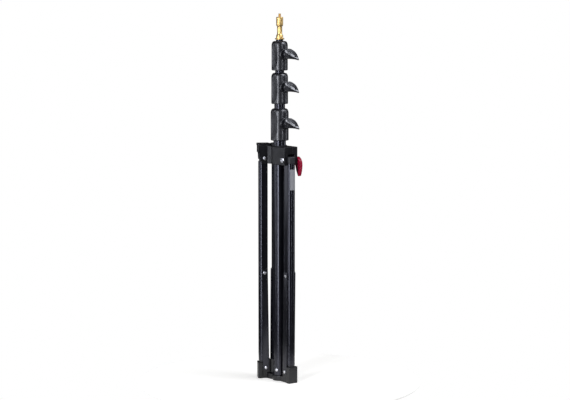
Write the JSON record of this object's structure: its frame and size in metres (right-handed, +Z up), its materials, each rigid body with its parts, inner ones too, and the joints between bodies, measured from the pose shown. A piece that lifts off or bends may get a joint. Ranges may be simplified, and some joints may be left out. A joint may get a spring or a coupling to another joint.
{
  "type": "lighting stand",
  "caption": "Folding lighting stand: telescopic column with wing-knob collars, a 16 mm stud on top, and hinged legs with braces that fold flat for stacking.",
  "frame": {"origin": "centre of the lower casting's flat underside, on the column's axis, level with the undersides of the folded feet", "axes": "+Z up along the column, +X the way leg C opens and the wing knobs point, +Y the way folded stands stack"},
  "size_m": [0.1185, 0.0676, 0.86],
  "materials": {
    "black_tube": "black anodised, satin",
    "black_bar": "black anodised, satin",
    "black_casting": "moulded, fine texture",
    "black_collar": "moulded, soft matte",
    "black_knob": "moulded, satin",
    "grey_bush": "plain moulded",
    "steel": "bright zinc plated",
    "brass": "turned, bright",
    "red_lever": "glossy moulded",
    "grey_label": "printed film, plain"
  },
  "bodies": {
    "column": {"base_tube": "black_tube", "lower_casting": "black_casting", "column_rivet": "steel", "lower_pin_a": "steel", "lower_pin_b": "steel", "lower_pin_c": "steel", "collar_low": "black_collar", "clamp_shoe_low": "grey_bush"},
    "riser_1": {"riser_tube_1": "black_tube", "piston_bush_1": "grey_bush", "collar_mid": "black_collar", "clamp_shoe_mid": "grey_bush"},
    "riser_2": {"riser_tube_2": "black_tube", "piston_bush_2": "grey_bush", "collar_top": "black_collar", "clamp_shoe_top": "grey_bush"},
    "riser_3": {"riser_tube_3": "black_tube", "piston_bush_3": "grey_bush", "stud_16mm": "brass", "stud_pin": "steel"},
    "knob_low": {"wing_knob_low": "black_knob", "knob_screw_low": "steel"},
    "knob_mid": {"wing_knob_mid": "black_knob", "knob_screw_mid": "steel"},
    "knob_top": {"wing_knob_top": "black_knob", "knob_screw_top": "steel"},
    "leg_collar": {"leg_collar_casting": "black_casting", "collar_liner": "grey_bush", "clamp_screw": "steel", "top_pin_a": "steel", "top_pin_b": "steel"},
    "clamp_lever": {"clamp_lever": "red_lever"},
    "leg_a": {"leg_tube_a": "black_tube", "top_insert_a": "grey_bush", "foot_a": "black_casting", "mid_spacer_a": "steel"},
    "brace_a": {"brace_bar_right_a": "black_bar", "brace_bar_left_a": "black_bar", "mid_rivet_right_a": "steel", "mid_rivet_left_a": "steel"},
    "leg_b": {"leg_tube_b": "black_tube", "top_insert_b": "grey_bush", "foot_b": "black_casting", "mid_spacer_b": "steel"},
    "brace_b": {"brace_bar_right_b": "black_bar", "brace_bar_left_b": "black_bar", "mid_rivet_right_b": "steel", "mid_rivet_left_b": "steel"},
    "leg_c": {"leg_tube_c": "black_tube", "top_insert_c": "grey_bush", "foot_c": "black_casting", "mid_spacer_c": "steel", "leg_label": "grey_label"},
    "brace_c": {"brace_bar_right_c": "black_bar", "brace_bar_left_c": "black_bar", "mid_rivet_right_c": "steel", "mid_rivet_left_c": "steel"}
  },
  "joints": [
    {"name": "riser_1_slide", "type": "slide", "parent": "column", "child": "riser_1", "axis": [0, 0, 1], "range_m": [0, 0.52]},
    {"name": "riser_2_slide", "type": "slide", "parent": "riser_1", "child": "riser_2", "axis": [0, 0, 1], "range_m": [0, 0.59]},
    {"name": "riser_3_slide", "type": "slide", "parent": "riser_2", "child": "riser_3", "axis": [0, 0, 1], "range_m": [0, 0.65]},
    {"name": "knob_low_turn", "type": "hinge", "parent": "column", "child": "knob_low", "pos_m": [0.03, 0, 0.606], "axis": [1, 0, 0], "range_deg": [0, 180]},
    {"name": "knob_mid_turn", "type": "hinge", "parent": "riser_1", "child": "knob_mid", "pos_m": [0.03, 0, 0.6905], "axis": [1, 0, 0], "range_deg": [0, 180]},
    {"name": "knob_top_turn", "type": "hinge", "parent": "riser_2", "child": "knob_top", "pos_m": [0.03, 0, 0.766], "axis": [1, 0, 0], "range_deg": [0, 180]},
    {"name": "leg_collar_slide", "type": "slide", "parent": "column", "child": "leg_collar", "axis": [0, 0, -1], "range_m": [0, 0.2406]},
    {"name": "clamp_lever_swing", "type": "hinge", "parent": "leg_collar", "child": "clamp_lever", "pos_m": [0.0376, 0.024, 0.5235], "axis": [0, -1, 0], "range_deg": [0, 90]},
    {"name": "leg_a_open", "type": "hinge", "parent": "leg_collar", "child": "leg_a", "pos_m": [-0.0443, -0.0126, 0.5235], "axis": [-0.866, 0.5, 0], "range_deg": [0, 50.2]},
    {"name": "brace_a_open", "type": "hinge", "parent": "column", "child": "brace_a", "pos_m": [-0.04265, -0.00974, 0.026], "axis": [0.866, -0.5, 0], "range_deg": [0, 68]},
    {"name": "leg_b_open", "type": "hinge", "parent": "leg_collar", "child": "leg_b", "pos_m": [-0.0295, 0.013, 0.5235], "axis": [0.866, 0.5, 0], "range_deg": [0, 50.2]},
    {"name": "brace_b_open", "type": "hinge", "parent": "column", "child": "brace_b", "pos_m": [-0.02785, 0.01014, 0.026], "axis": [-0.866, -0.5, 0], "range_deg": [0, 68]},
    {"name": "leg_c_open", "type": "hinge", "parent": "leg_collar", "child": "leg_c", "pos_m": [0.0376, 0, 0.5235], "axis": [0, -1, 0], "range_deg": [0, 50.2]},
    {"name": "brace_c_open", "type": "hinge", "parent": "column", "child": "brace_c", "pos_m": [0.0343, 0, 0.026], "axis": [0, 1, 0], "range_deg": [0, 68]}
  ],
  "couplings": [
    {"joint": "leg_a_open", "follows": "leg_collar_slide", "rad_per_m": 3.627},
    {"joint": "brace_a_open", "follows": "leg_collar_slide", "rad_per_m": 4.9153},
    {"joint": "leg_b_open", "follows": "leg_collar_slide", "rad_per_m": 3.627},
    {"joint": "brace_b_open", "follows": "leg_collar_slide", "rad_per_m": 4.9153},
    {"joint": "leg_c_open", "follows": "leg_collar_slide", "rad_per_m": 3.627},
    {"joint": "brace_c_open", "follows": "leg_collar_slide", "rad_per_m": 4.9153}
  ]
}
